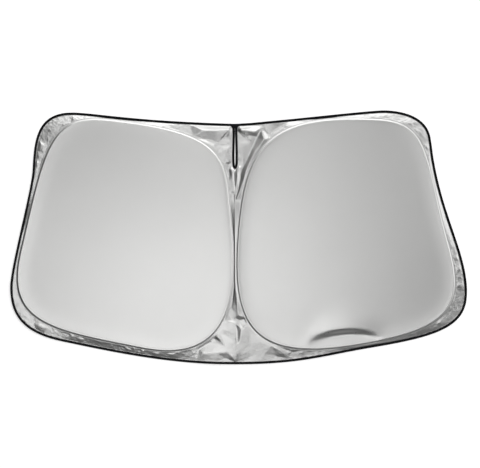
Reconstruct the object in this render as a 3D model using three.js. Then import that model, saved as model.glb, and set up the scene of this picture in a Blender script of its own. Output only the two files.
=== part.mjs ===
// Foldable windscreen sunshade: one sheet of silver coated cloth with a slit for the mirror stalk,
// stretched by two spring steel hoops in sewn sleeves and bound all round with black tape.
// It lies on its back, silver side up. Millimetres, +Z up, +Y to the roof edge of the windscreen.
// Each half is laid out with x outward from the fold line and y up from the bottom of that line.
import * as THREE from 'three';
import { mergeVertices } from 'three/addons/utils/BufferGeometryUtils.js';

// Sizes across the thickness
const clothThickness = 0.4;
const tapeThickness = 0.5;
const tapeWidth = 6.5;
const sewnGap = 0.3;
const seamDrop = 0.5;
const wireThickness = 0.8;
const wireHeight = 3.2;
const ferruleWall = 0.3;
const ferruleGap = 0.1;
const ferruleLength = 18;
const sleeveHalfWidth = 6.5;
const tunnelHalfWidth = 4;
const tunnelFloorHalfWidth = 1.1;

// The fold line between the hoops and the slit for the mirror stalk
const foldLength = 791;
const slitDepth = 143;
const slitMouthHalfGap = 0.5;
const slitHalfGap = 2.8;
const slitFullWidthFrom = 86;

// The hoops: four anchors each, with the direction of travel in degrees and the two handle lengths.
// The cloth outline hangs on the same anchors, each corner standing off its hoop by a margin.
const leftShape = {
  hoop: {
    top: { x: 427, y: foldLength + 10, angle: 5.7, before: 328, after: 185 },
    outer: { x: 703, y: 368, angle: -76.8, before: 338, after: 240 },
    bottom: { x: 306, y: 56, angle: 191.2, before: 298, after: 380 },
    inner: { x: 26, y: 567, angle: 85.4, before: 190, after: 141 },
  },
  mouth: { angle: 1.6, after: 350 },
  peak: { margin: [111, 27], angle: 0, before: 75, after: 129 },
  flank: { margin: [-37, 264], angle: -85.8, before: 76, after: 61 },
  widest: { margin: [36, -113], angle: -90, before: 60, after: 76 },
  lower: { margin: [269, 21], angle: -167.5, before: 144, after: 320 },
  foldBottom: { before: 126 },
};
const rightShape = {
  hoop: {
    top: { x: 471, y: foldLength + 11, angle: -3.1, before: 340, after: 173 },
    outer: { x: 696, y: 400, angle: -74.4, before: 281, after: 219 },
    bottom: { x: 380, y: 63, angle: 188.7, before: 340, after: 348 },
    inner: { x: 15, y: 450, angle: 85.1, before: 300, after: 287 },
  },
  mouth: { angle: -0.3, after: 60 },
  peak: { margin: [19, 33], angle: 0, before: 60, after: 48 },
  flank: { margin: [-52, 339], angle: -83.4, before: 83, after: 250 },
  widest: { margin: [67, -166], angle: -90, before: 147, after: 108 },
  lower: { margin: [70, -8], angle: -170.7, before: 225, after: 165 },
  foldBottom: { before: 220 },
};

// How finely the curves are cut: steps along each stretch of a half outline, then the slit and fold
const outlineSteps = { top: 12, upperCorner: 13, flank: 8, lowerCorner: 12, bottom: 12 };
const slitSteps = 6;
const slitEndSteps = 3;
const foldSteps = 14;
const hoopSamples = 720;

// Creases: the loose margin between hoop and tape is crumpled, more so where it is wide
const crumpleHeight = 4;
const crumpleWidth = 45;
const foldCrease = 0.5;
const creaseRings = [0.25, 0.5, 0.75];
// The big folds above and below the hoops, each a line from one point to another that stands up
const leftFolds = [
  { from: [18, 766], to: [112, 770], height: 6.5, reach: 32 },
  { from: [30, 664], to: [62, 706], height: 4, reach: 24 },
  { from: [12, 136], to: [56, 100], height: 6.5, reach: 26 },
  { from: [68, 42], to: [120, 44], height: 6, reach: 24 },
];
const rightFolds = [
  { from: [16, 767], to: [69, 768], height: 5.5, reach: 22 },
  { from: [104, 756], to: [27, 626], height: 6.5, reach: 26 },
  { from: [27, 626], to: [9, 580], height: 5.5, reach: 16 },
  { from: [14, 127], to: [46, 136], height: 6.5, reach: 26 },
  { from: [7, 96], to: [5, 36], height: 4.5, reach: 24 },
  { from: [120, 36], to: [146, 36], height: 5, reach: 22 },
];
// The buckle in the taut panel just above the foot of the right hoop
const buckle = { inset: 24, run: 52, height: 5, fromX: 235, toX: 470 };
const panelInset = 56;

// Levels worked out from the sizes above, from the surface that the sunshade lies on
const hemLevel = tapeThickness + sewnGap + clothThickness / 2;
const hemInset = tapeThickness + 2 * sewnGap;
const hemFlat = tapeWidth + 5 * sewnGap;
const wireBottom = tapeThickness + ferruleGap + ferruleWall + sewnGap;
const wireTop = wireBottom + wireHeight;
const seamLevel = wireTop - seamDrop;
const flangeTop = seamLevel - clothThickness / 2 - sewnGap;
const crestLevel = wireTop + ferruleGap + ferruleWall + sewnGap + clothThickness / 2;

const lerp = THREE.MathUtils.lerp;
const heading = (degrees) => new THREE.Vector2(1, 0).rotateAround(new THREE.Vector2(), THREE.MathUtils.degToRad(degrees));

// A smooth curve through the anchors, as one cubic between each two of them.
function curvesThrough(anchors) {
  return anchors.slice(1).map((end, i) => {
    const start = anchors[i];
    const a = new THREE.Vector2(start.x, start.y);
    const b = new THREE.Vector2(end.x, end.y);
    return new THREE.CubicBezierCurve(
      a,
      a.clone().addScaledVector(heading(start.angle), start.after),
      b.clone().addScaledVector(heading(end.angle), -end.before),
      b,
    );
  });
}

// The hoop's centreline, looked up by the direction from the middle of the hoop.
function hoopLine(hoop) {
  const anchors = [hoop.top, hoop.outer, hoop.bottom, hoop.inner, hoop.top];
  const path = new THREE.CurvePath();
  curvesThrough(anchors).forEach((curve) => path.add(curve));
  const points = path.getSpacedPoints(hoopSamples).slice(0, hoopSamples);
  const centre = points.reduce((sum, p) => sum.add(p), new THREE.Vector2()).divideScalar(hoopSamples);
  const bearing = (p) => Math.atan2(p.y - centre.y, p.x - centre.x);
  const place = (towards) => {
    const goal = bearing(towards);
    const turn = (p) => THREE.MathUtils.euclideanModulo(bearing(p) - goal + Math.PI, 2 * Math.PI) - Math.PI;
    for (let i = 0; i < hoopSamples; i++) {
      const p = points[i];
      const q = points[(i + 1) % hoopSamples];
      const a = turn(p);
      const b = turn(q);
      if (a >= 0 && b < 0 && a < 1) {
        const at = p.clone().lerp(q, a / (a - b));
        const outward = new THREE.Vector2(p.y - q.y, q.x - p.x).normalize();
        return { at, outward };
      }
    }
    throw new Error('the hoop has no point in that direction');
  };
  return place;
}

const mitre = (before, after) => {
  const half = before.clone().add(after).normalize();
  return half.divideScalar(half.dot(after));
};
const rightOf = (direction) => new THREE.Vector2(direction.y, -direction.x);

// The bound edge of one half, from the foot of the slit round the outside to the bottom of the fold.
// Each station has its place on the edge and the way into the cloth, mitred at the corners.
function hemStations(shape) {
  const { hoop } = shape;
  const stand = (anchor, corner) => ({ x: anchor.x + corner.margin[0], y: anchor.y + corner.margin[1], ...corner });
  const anchors = [
    { x: slitMouthHalfGap, y: foldLength, ...shape.mouth },
    stand(hoop.top, shape.peak),
    stand(hoop.outer, shape.flank),
    stand(hoop.outer, shape.widest),
    stand(hoop.bottom, shape.lower),
    { x: 0, y: 0, angle: 180, ...shape.foldBottom },
  ];
  const steps = Object.values(outlineSteps);
  const outline = curvesThrough(anchors).flatMap((curve, i) => curve.getSpacedPoints(steps[i]).slice(1));
  const slitFoot = foldLength - slitDepth + slitHalfGap;
  const around = [];
  for (let i = 0; i <= slitEndSteps; i++) {
    const way = heading(-90 + (90 * i) / slitEndSteps);
    const at = new THREE.Vector2(0, slitFoot).addScaledVector(way, slitHalfGap);
    around.push({ at, way });
  }
  const slit = [];
  for (let i = 1; i < slitSteps; i++) {
    const y = lerp(slitFoot, foldLength, i / slitSteps);
    const share = THREE.MathUtils.clamp((foldLength - y) / slitFullWidthFrom, 0, 1);
    slit.push(new THREE.Vector2(lerp(slitMouthHalfGap, slitHalfGap, share), y));
  }
  const edge = [around.at(-1).at, ...slit, new THREE.Vector2(slitMouthHalfGap, foldLength), ...outline];
  const stations = around.slice(0, -1);
  edge.forEach((at, i) => {
    const ahead = i < edge.length - 1 ? rightOf(edge[i + 1].clone().sub(at).normalize()) : new THREE.Vector2(0, 1);
    const behind = i > 0 ? rightOf(at.clone().sub(edge[i - 1]).normalize()) : new THREE.Vector2(1, 0);
    const last = i === edge.length - 1;
    stations.push({ at, way: last || i === 0 ? (last ? ahead : behind) : mitre(behind, ahead) });
  });
  return stations;
}

// A repeatable scatter from -1 to 1 for the crumpled margin.
const scatter = (a, b) => {
  const wave = Math.sin(a * 12.9898 + b * 78.233) * 43758.5453;
  return 2 * (wave - Math.floor(wave)) - 1;
};

// How far the big folds lift the cloth at a place: each one is a tent over its line.
function foldHeightAt([x, y], bigFolds) {
  const place = new THREE.Vector3(x, y, 0);
  return bigFolds.reduce((most, { from, to, height, reach }) => {
    const line = new THREE.Line3(new THREE.Vector3(...from, 0), new THREE.Vector3(...to, 0));
    const nearest = line.closestPointToPoint(place, true, new THREE.Vector3());
    return Math.max(most, height * (1 - place.distanceTo(nearest) / reach));
  }, 0);
}

// All stations of one half, clockwise from the bottom of the fold: the rings of the cloth at each one,
// from its edge inwards, as points [x, y, z] of the middle of the cloth.
function halfLayout(shape, bigFolds, seed) {
  const place = hoopLine(shape.hoop);
  const hem = hemStations(shape);
  const foldTop = hem[0].at.y - hemInset;
  const stations = [];
  const from = hem.at(-1);
  const clear = hemFlat + 4;
  stations.push({ hem: from, edge: [0, hemInset], flat: [3, hemFlat] });
  for (let i = 0; i <= foldSteps; i++) {
    const y = lerp(clear, foldTop - clear, i / foldSteps);
    stations.push({ edge: [0, y], low: i === 0 || i === foldSteps });
  }
  stations.push({ hem: hem[0], edge: [0, foldTop], flat: [3, foldTop - hemFlat + hemInset] });
  hem.slice(1, -1).forEach((h) => {
    const e = h.at.clone().addScaledVector(h.way, hemInset);
    const f = h.at.clone().addScaledVector(h.way, hemFlat);
    stations.push({ hem: h, edge: [e.x, e.y], flat: [f.x, f.y] });
  });
  return stations.map((s, index) => {
    const onHoop = place(new THREE.Vector2(...s.edge));
    const off = (d, z) => {
      const p = onHoop.at.clone().addScaledVector(onHoop.outward, d);
      return [p.x, p.y, z];
    };
    const seam = off(sleeveHalfWidth + sewnGap, seamLevel);
    const level = s.flat || s.low ? hemLevel : seamLevel;
    const ridge = s.flat || s.low ? 0 : foldCrease;
    const edge = [...s.edge, level + ridge];
    const flat = s.flat ? [...s.flat, hemLevel] : [0, 1, 2].map((k) => lerp(edge[k], seam[k], 0.3));
    const width = Math.hypot(flat[0] - seam[0], flat[1] - seam[1]);
    const crumple = (crumpleHeight * width) / (width + crumpleWidth);
    const folds = creaseRings.map((t, ring) => {
      const at = [0, 1, 2].map((k) => lerp(flat[k], seam[k], t));
      const stand = foldHeightAt(at, bigFolds);
      at[2] = Math.max(at[2] + crumple * scatter(index + seed, ring) * (stand > 0 ? 0.2 : 0.7), hemLevel) + stand;
      return at;
    });
    const inner = off(-tunnelHalfWidth, seamLevel);
    const buckled = shape === rightShape && s.hem && s.edge[1] < shape.hoop.outer.y / 2;
    const mid = (buckle.fromX + buckle.toX) / 2;
    const share = buckled ? Math.max(0, 1 - ((onHoop.at.x - mid) / (buckle.toX - mid)) ** 2) : 0;
    return {
      hem: s.hem,
      hoop: onHoop,
      rings: [
        edge, flat, ...folds, seam,
        off(tunnelHalfWidth, seamLevel), off(0, crestLevel), inner,
        off(-buckle.inset, seamLevel + buckle.height * share),
        off(-panelInset, seamLevel),
      ],
    };
  });
}

// A closed solid from its vertices and faces, turned to face outwards.
function solidGeometry(vertices, faces) {
  const geometry = new THREE.BufferGeometry();
  geometry.setAttribute('position', new THREE.Float32BufferAttribute(vertices.flat(), 3));
  const corner = (i) => new THREE.Vector3(...vertices[i]);
  const volume = faces.reduce((sum, [a, b, c]) => sum + corner(a).dot(corner(b).cross(corner(c))), 0);
  geometry.setIndex((volume < 0 ? faces.map(([a, b, c]) => [a, c, b]) : faces).flat());
  const merged = mergeVertices(geometry, 1e-4);
  return merged;
}

// A section carried round a closed loop, or along an open run with flat ends.
function sectionsSolid(sections, closed) {
  const size = sections[0].length;
  const faces = [];
  const runs = closed ? sections.length : sections.length - 1;
  for (let i = 0; i < runs; i++) {
    const a = i * size;
    const b = ((i + 1) % sections.length) * size;
    for (let k = 0; k < size; k++) {
      const l = (k + 1) % size;
      faces.push([a + k, b + k, b + l], [a + k, b + l, a + l]);
    }
  }
  if (!closed) {
    const end = (sections.length - 1) * size;
    for (let k = 1; k < size - 1; k++) faces.push([0, k, k + 1], [end, end + k + 1, end + k]);
  }
  return solidGeometry(sections.flat(), faces);
}

// The cloth of both halves as one sheet: an upper and a lower face, closed along the bound edge.
function clothGeometry(halves) {
  const vertices = [];
  const faces = [];
  for (const { side, stations } of halves) {
    const count = stations.length;
    const depth = stations[0].rings.length;
    for (const lift of [1, -1]) {
      const base = vertices.length;
      const turn = side * lift > 0;
      const add = (a, b, c) => faces.push(turn ? [a, b, c] : [a, c, b]);
      const at = (i, r) => base + (i % count) * depth + r;
      stations.forEach(({ rings }) => {
        rings.forEach(([x, y, z]) => vertices.push([side * x, y, z + (lift * clothThickness) / 2]));
      });
      for (let i = 0; i < count; i++) {
        for (let r = 0; r < depth - 1; r++) {
          const intoCorner = r === 0 && !stations[i].hem;
          if (intoCorner) {
            add(at(i, r), at(i + 1, r), at(i + 1, r + 1));
            add(at(i, r), at(i + 1, r + 1), at(i, r + 1));
          } else {
            add(at(i, r), at(i + 1, r), at(i, r + 1));
            add(at(i + 1, r), at(i + 1, r + 1), at(i, r + 1));
          }
        }
      }
      const panel = stations.map(({ rings }) => new THREE.Vector2(rings.at(-1)[0], rings.at(-1)[1]));
      THREE.ShapeUtils.triangulateShape(panel, []).forEach(([a, b, c]) => {
        const [p, q, r] = [panel[a], panel[b], panel[c]];
        const clockwise = (q.x - p.x) * (r.y - p.y) - (q.y - p.y) * (r.x - p.x) < 0;
        if (clockwise) add(at(a, depth - 1), at(b, depth - 1), at(c, depth - 1));
        else add(at(a, depth - 1), at(c, depth - 1), at(b, depth - 1));
      });
    }
    const under = count * depth;
    const base = vertices.length - 2 * under;
    for (let i = 0; i < count; i++) {
      const j = (i + 1) % count;
      if (!stations[i].hem || !stations[j].hem) continue;
      const [a, b] = [base + i * depth, base + j * depth];
      const wall = [[a, b + under, b], [a, a + under, b + under]];
      wall.forEach(([p, q, r]) => faces.push(side > 0 ? [p, q, r] : [p, r, q]));
    }
  }
  return solidGeometry(vertices, faces);
}

// Black tape folded over the raw edge, in one run round the outside and down both sides of the slit.
function bindingGeometry(halves) {
  const top = 2 * hemLevel;
  const cleft = hemLevel - clothThickness / 2 - sewnGap;
  const fold = tapeThickness + sewnGap;
  const section = [
    [0.6, top], [0, top - 0.6], [0, 0.6], [0.6, 0], [tapeWidth, 0], [tapeWidth, cleft],
    [fold, cleft], [fold, top - cleft], [tapeWidth, top - cleft], [tapeWidth, top],
  ];
  const stationsOf = ({ side, stations }) => {
    const run = stations.filter((s) => s.hem);
    const loop = [...run.slice(1), run[0]];
    return loop.map(({ hem }) => section.map(([d, z]) => [side * (hem.at.x + hem.way.x * d), hem.at.y + hem.way.y * d, z]));
  };
  const [left, right] = halves.map(stationsOf);
  return sectionsSolid([...right, ...left.reverse().slice(1, -1)], true);
}

// A section given as [distance outward, height] set up square to the hoop at one station.
const acrossHoop = ({ at, outward }, section, side) => section.map(([d, z]) => {
  const p = at.clone().addScaledVector(outward, d);
  return [side * p.x, p.y, z];
});

// The strip sewn under the cloth that makes the tunnel for the wire.
function sleeveGeometry({ side, stations }) {
  const bend = 0.15;
  const flangeBottom = flangeTop - tapeThickness;
  const lower = [
    [sleeveHalfWidth, flangeBottom], [tunnelHalfWidth, flangeBottom], [tunnelFloorHalfWidth, 0],
    [-tunnelFloorHalfWidth, 0], [-tunnelHalfWidth, flangeBottom], [-sleeveHalfWidth, flangeBottom],
  ];
  const upper = [
    [-sleeveHalfWidth, flangeTop], [-tunnelHalfWidth - bend, flangeTop], [-tunnelFloorHalfWidth + bend, tapeThickness],
    [tunnelFloorHalfWidth - bend, tapeThickness], [tunnelHalfWidth + bend, flangeTop], [sleeveHalfWidth, flangeTop],
  ];
  return sectionsSolid(stations.map((s) => acrossHoop(s.hoop, [...lower, ...upper], side)), true);
}

const boxSection = (halfWidth, low, high) => [[halfWidth, low], [-halfWidth, low], [-halfWidth, high], [halfWidth, high]];

// The station before the straight step of the hoop in which the two ends of the wire meet.
const joinIndex = (stations) => Math.round(stations.length * 0.8);

// The step of the hoop at the join: its middle, its direction and the frame square to it.
function joinFrame(stations) {
  const k = joinIndex(stations);
  const a = stations[k].hoop.at;
  const b = stations[k + 1].hoop.at;
  const along = b.clone().sub(a).normalize();
  const outward = new THREE.Vector2(-along.y, along.x);
  const middle = a.clone().lerp(b, 0.5);
  return { middle, along, outward, at: (s) => ({ at: middle.clone().addScaledVector(along, s), outward }) };
}

// Flat spring steel stood on edge, bent to the hoop, its ends a hair apart inside the ferrule.
function wireGeometry({ side, stations }) {
  const section = boxSection(wireThickness / 2, wireBottom, wireTop);
  const k = joinIndex(stations);
  const join = joinFrame(stations);
  const round = [...stations.slice(k + 1), ...stations.slice(0, k + 1)];
  const run = [join.at(ferruleGap), ...round.map((s) => s.hoop), join.at(-ferruleGap)];
  return sectionsSolid(run.map((s) => acrossHoop(s, section, side)), false);
}

// The pressed steel ferrule that joins the wire's ends: a short rectangular tube.
function ferruleGeometry({ side, stations }) {
  const join = joinFrame(stations);
  const bore = wireThickness / 2 + ferruleGap;
  const tube = (grow) => boxSection(bore + grow, wireBottom - ferruleGap - grow, wireTop + ferruleGap + grow);
  const ends = [-ferruleLength / 2, ferruleLength / 2].map(join.at);
  const rings = [
    acrossHoop(ends[0], tube(ferruleWall), side),
    acrossHoop(ends[1], tube(ferruleWall), side),
    acrossHoop(ends[1], tube(0), side),
    acrossHoop(ends[0], tube(0), side),
  ];
  return sectionsSolid(rings, true);
}

const silverCoating = new THREE.MeshStandardMaterial({ color: 0xcfd0cd, roughness: 0.45, metalness: 0.6 });
const blackTape = new THREE.MeshStandardMaterial({ color: 0x0d0d0e, roughness: 0.85, metalness: 0 });
const springSteel = new THREE.MeshStandardMaterial({ color: 0x74777a, roughness: 0.35, metalness: 1 });
const sleeveStrip = new THREE.MeshStandardMaterial({ color: 0xb9bab8, roughness: 0.6, metalness: 0.35 });

const sunshade = new THREE.Group();
const halves = [
  { side: -1, name: 'left', stations: halfLayout(leftShape, leftFolds, 3) },
  { side: 1, name: 'right', stations: halfLayout(rightShape, rightFolds, 40) },
];
function addPiece(name, geometry, material) {
  const mesh = new THREE.Mesh(geometry, material);
  mesh.name = name;
  sunshade.add(mesh);
  return mesh;
}
addPiece('silver_cloth', clothGeometry(halves), silverCoating);
const binding = addPiece('edge_binding', bindingGeometry(halves), blackTape);
for (const half of halves) {
  addPiece(`${half.name}_hoop_sleeve`, sleeveGeometry(half), sleeveStrip);
  addPiece(`${half.name}_hoop_wire`, wireGeometry(half), springSteel);
  addPiece(`${half.name}_hoop_ferrule`, ferruleGeometry(half), springSteel);
}

// The origin is under the middle of the sunshade, so every piece moves there together.
const extent = new THREE.Box3().setFromObject(binding);
const middle = extent.getCenter(new THREE.Vector3());
sunshade.children.forEach((mesh) => mesh.position.set(-middle.x, -middle.y, 0));

export default sunshade;
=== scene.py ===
"""Windscreen sunshade: the cloth, tape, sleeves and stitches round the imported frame."""

import math

import bpy
import numpy as np
from bpy.props import FloatProperty, FloatVectorProperty, IntProperty, PointerProperty
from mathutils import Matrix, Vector
from mathutils.geometry import delaunay_2d_cdt


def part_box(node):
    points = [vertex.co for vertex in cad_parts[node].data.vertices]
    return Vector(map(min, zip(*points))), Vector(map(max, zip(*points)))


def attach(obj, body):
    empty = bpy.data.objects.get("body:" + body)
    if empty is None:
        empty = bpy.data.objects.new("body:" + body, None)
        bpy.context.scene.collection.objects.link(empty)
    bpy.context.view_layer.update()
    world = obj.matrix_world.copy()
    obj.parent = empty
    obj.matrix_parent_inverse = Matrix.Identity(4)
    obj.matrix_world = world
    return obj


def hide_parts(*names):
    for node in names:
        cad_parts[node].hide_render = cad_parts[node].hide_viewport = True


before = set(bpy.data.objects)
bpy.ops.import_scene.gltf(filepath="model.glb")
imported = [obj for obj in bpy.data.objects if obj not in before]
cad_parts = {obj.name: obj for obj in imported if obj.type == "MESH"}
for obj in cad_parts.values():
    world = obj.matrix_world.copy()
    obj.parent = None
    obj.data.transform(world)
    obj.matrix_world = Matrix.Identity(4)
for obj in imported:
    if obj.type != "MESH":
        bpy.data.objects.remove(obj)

bl_info = {
    "name": "Windscreen Sunshade",
    "version": (1, 0, 0),
    "blender": (4, 5, 0),
    "location": "View3D > Sidebar > Sunshade",
    "description": "Dresses a folding windscreen sunshade in its cloth, tape, sleeves and stitches",
    "category": "Object",
}

MM = 0.001
BODY = "root"
HALVES = {"left": -1, "right": 1}

# The photograph's frame, in pixels, and the place of the fold's foot in it
PHOTO_WIDTH = 480
PHOTO_HEIGHT = 468
FOLD_PIXEL = 235.0
FOOT_PIXEL = 364.3
METRES_PER_PIXEL = 3.289 * MM

# Points nearer to each other than this are one
MERGE_DISTANCE = 0.01 * MM

# How far the loose cloth between the hoops reaches to either side of the fold
GUSSET_REACH = 190 * MM

# A turn in the outline or in a wire's line that is sharper than this stays a corner
EDGE_CORNER = math.radians(38)
WIRE_CORNER = math.radians(60)

# Creases this many millimetres past the fold still shape the half on this side of it
CREASE_OVERLAP = 24

# The rows of cloth over a wire, from outside it (positive) to the panel inside it
RIDGE_REACHES = tuple(
    reach * MM for reach in (5.4, 4.2, 3.2, 2.2, 1.2, 0, -1.2, -2.4, -4, -6.5, -10, -15, -21))

# Rings of the panel's mesh that take every second station
PANEL_RINGS = 22

# The folded ends of the tape at the mouth of the slit, in millimetres from its middle
MOUTH_OUTLINE = (
    (-21, -0.6), (-17, -5.5), (-11, -10.5), (-8.6, -16), (8.2, -16), (9.6, -9.5), (15, -5.5),
    (19, -0.6),
)

# Each lamp's name, its place, the place that it looks at, its two sides and its power in watts
LAMPS = (
    ("low_pool", (-0.28, -0.36, 4.0), (-0.28, -0.36, 0), (1.6, 0.85), 6.2),
    ("middle_strip", (0.12, 0.25, 4.0), (0.12, 0.25, 0), (0.4, 0.78), 0.8),
    ("roof_side", (0, 1.7, 2.4), (0, 0, 0), (2.6, 1.2), 12.5),
    ("far_side", (0, 3.2, 1.5), (0, 0, 0), (3.0, 1.0), 5),
    ("door_side", (2.0, 0.1, 2.0), (0, 0, 0), (0.8, 1.8), 1.2),
)

# Threads in a metre of the cloth, how strongly a weave shows, and the thickness of the tape
CLOTH_THREADS = 2600.0
WEAVE_STRENGTH = 0.35
TAPE_WALL = 0.5 * MM

# The camera looks straight down; its sensor's width is in millimetres, and the rest in metres
CAMERA_HEIGHT = 8.0
CAMERA_SENSOR = 36
FLOOR_SIZE = 30
FLOOR_DROP = 0.2 * MM
FLOOR_GLOW = 0.62

# The creases of the loose cloth between the hoops: each line is a run of places, x right
# of the fold, y up from its foot and the cloth's height above the sewn edge, all in millimetres.
UPPER_CREASES = (
    ((-150, 790, 3.0), (-103, 769, 6.0), (-60, 769, 6.8), (-14, 771, 5.8)),
    ((-118, 742, 1.2), (-74, 734, 0.2), (-58, 727, 0.3), (-41, 721, 0.6), (-27, 746, 2.6),
     (-14, 771, 5.8)),
    ((-41, 721, 1.0), (-28, 706, 3.4), (-15, 690, 2.6)),
    ((-28, 706, 3.4), (-34, 684, 3.8), (-22, 664, 3.6)),
    ((-22, 658, 1.2), (-21, 640, 1.0), (-19, 622, 1.4), (-23, 606, 2.4)),
    ((-9, 646, 4.2), (-9, 636, 4.4), (-8, 618, 4.2), (-7, 594, 4.0)),
    ((-3, 643, 2.2), (-3, 618, 2.0), (-3, 598, 2.6)),
    ((9, 644, 4.8), (8, 618, 5.0), (6, 596, 4.6), (-4, 570, 4.2)),
    ((73, 748, 0.4), (59, 713, 0.2), (41, 677, 0.4), (28, 654, 0.7), (18, 631, 1.2), (17, 610, 1.4),
     (11, 572, 2.2), (2, 548, 2.8)),
    ((97, 740, 6.4), (76, 702, 6.8), (58, 671, 6.6), (42, 646, 6.2), (33, 618, 5.8), (29, 604, 5.4),
     (17, 575, 4.8), (6, 546, 4.4)),
    ((10, 769, 5.2), (40, 769, 6.0), (67, 764, 5.4), (86, 776, 3.4)),
    ((11, 747, 1.0), (32, 741, 0.5), (50, 752, 1.8), (67, 764, 5.4)),
    ((12, 722, 2.4), (30, 722, 2.2), (50, 728, 1.8)),
    ((14, 700, 2.4), (28, 698, 1.6)),
    ((14, 674, 3.4), (28, 676, 2.2)),
    ((86, 776, 3.4), (109, 757, 1.0), (135, 774, 1.6), (164, 797, 2.4)),
    ((-6, 560, 2.0), (4, 540, 3.0)),
)
LOWER_CREASES = (
    ((-3, 262, 1.8), (-6, 236, 1.0), (-9, 211, 0.7), (-14, 186, 0.7), (-20, 166, 0.8)),
    ((3, 262, 4.4), (4, 236, 4.6), (6, 211, 4.6), (9, 186, 4.4), (12, 162, 3.8)),
    ((12, 236, 3.4), (18, 211, 3.6), (24, 180, 3.8), (28, 154, 3.6)),
    ((-24, 160, 1.8), (-10, 146, 1.2), (11, 145, 1.2), (24, 122, 2.0)),
    ((-33, 142, 3.0), (-14, 138, 4.2), (0, 131, 5.4), (20, 120, 4.8)),
    ((1, 131, 4.8), (1, 100, 4.8), (3, 66, 4.2), (15, 42, 3.6)),
    ((5, 126, 2.4), (7, 104, 2.2), (7, 78, 2.6)),
    ((21, 116, 4.8), (19, 96, 4.8), (14, 72, 4.0)),
    ((-43, 117, 3.4), (-33, 96, 3.2), (-24, 112, 4.0)),
    ((-56, 100, 3.2), (-30, 60, 4.0), (-24, 38, 4.2)),
    ((30, 153, 1.6), (40, 130, 2.6)),
    ((27, 121, 4.4), (50, 110, 3.6), (81, 84, 3.5), (119, 58, 3.2)),
    ((-62, 97, 4.6), (-51, 86, 5.2), (-41, 76, 4.4)),
    ((-66, 92, 3.4), (-57, 78, 3.2), (-48, 64, 3.4)),
    ((-118, 51, 2.0), (-90, 70, 1.6), (-66, 88, 1.8)),
    ((-106, 37, 4.4), (-82, 38, 4.9), (-58, 38, 4.9), (-34, 38, 4.4), (-24, 38, 4.2)),
    ((-24, 38, 4.2), (-10, 24, 4.4), (3, 10, 3.4)),
    ((-34, 20, 2.6), (-22, 16, 2.2)),
    ((50, 60, 3.0), (60, 34, 2.4), (96, 34, 2.4)),
    ((123, 56, 2.8), (133, 28, 1.0), (165, 21, 1.2)),
    ((130, 57, 3.6), (150, 46, 3.8), (162, 34, 2.8)),
    ((190, 40, 1.6), (224, 46, 2.8)),
)

# Height of the cloth along the fold above the sewn edge: y up from its foot, then the height.
FOLD_LINE = (
    (8, 3.2), (20, 3.8), (38, 4.0), (66, 4.3), (100, 4.8), (131, 5.2), (144, 1.8), (165, 2.4),
    (186, 2.8), (211, 2.8), (262, 4.0), (300, 5.0), (510, 5.0), (546, 3.6), (575, 2.6), (600, 3.0),
    (644, 3.0),
)

# Where the bound edge lifts off the ground: middle in the same measures, reach and height.
EDGE_LIFTS = (
    (118, 800, 46, 4.0), (-180, 806, 60, 1.0), (0, 700, 52, 2.6), (-72, 8, 60, 3.8),
    (60, 8, 80, 2.2), (-420, 826, 90, 1.4), (420, 832, 80, 1.2), (-748, 330, 200, 4.2),
    (-690, 620, 90, 3.4), (755, 300, 70, 2.2), (700, 120, 70, 1.4), (-650, 110, 110, 2.6),
    (-715, 190, 90, 1.6), (-330, 30, 90, 1.0), (300, 34, 120, 2.4), (650, 700, 60, 1.2),
)


def distance(a, b):
    return float(np.hypot(*(a - b)))


def node_mesh(node):
    """A CAD node's corners, each one once, and its triangles."""
    mesh = bpy.data.objects[node].data
    places = np.empty(len(mesh.vertices) * 3)
    mesh.vertices.foreach_get("co", places)
    places = places.reshape(-1, 3)
    mesh.calc_loop_triangles()
    corners = np.empty(len(mesh.loop_triangles) * 3, dtype=np.int64)
    mesh.loop_triangles.foreach_get("vertices", corners)
    keys = np.round(places / MERGE_DISTANCE).astype(np.int64)
    _, first, same = np.unique(keys, axis=0, return_index=True, return_inverse=True)
    return places[first], same.reshape(-1)[corners].reshape(-1, 3)


def bound_edge():
    """The outer edge of the binding as one closed loop, from the foot of the slit."""
    places, triangles = node_mesh("edge_binding")
    middle = (places[:, 2].min() + places[:, 2].max()) / 2
    under = np.where(places[:, 2] < middle, middle - places[:, 2], np.inf)
    chosen = under < under.min() + 0.05 * MM
    near = {}
    for a, b in np.vstack([triangles[:, [0, 1]], triangles[:, [1, 2]], triangles[:, [2, 0]]]):
        if chosen[a] and chosen[b]:
            near.setdefault(int(a), set()).add(int(b))
            near.setdefault(int(b), set()).add(int(a))
    start = min(near, key=lambda i: float(np.hypot(places[i, 0], places[i, 1])))
    step = max(near[start], key=lambda i: places[i, 0])
    order = [start, step]
    while True:
        ahead = [i for i in near[order[-1]] if i != order[-2]]
        if not ahead or ahead[0] == start:
            break
        order.append(ahead[0])
    return places[order][:, :2]


def hoop_line(side):
    """The middle line of a hoop's wire, clockwise seen from above for both hoops."""
    places, _ = node_mesh(f"{side}_hoop_wire")
    flat = places[places[:, 2] < places[:, 2].min() + 0.1 * MM][:, :2]
    centre = (flat.max(0) + flat.min(0)) / 2
    bearing = np.arctan2(flat[:, 1] - centre[1], flat[:, 0] - centre[0])
    flat = flat[np.argsort(-bearing)]
    wire_reach = 3 * MM
    groups = [[flat[0]]]
    for point in flat[1:]:
        if distance(point, groups[-1][0]) < wire_reach:
            groups[-1].append(point)
        else:
            groups.append([point])
    if distance(groups[0][0], groups[-1][0]) < wire_reach:
        groups[0] += groups.pop()
    return np.array([np.mean(g, axis=0) for g in groups])


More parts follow.
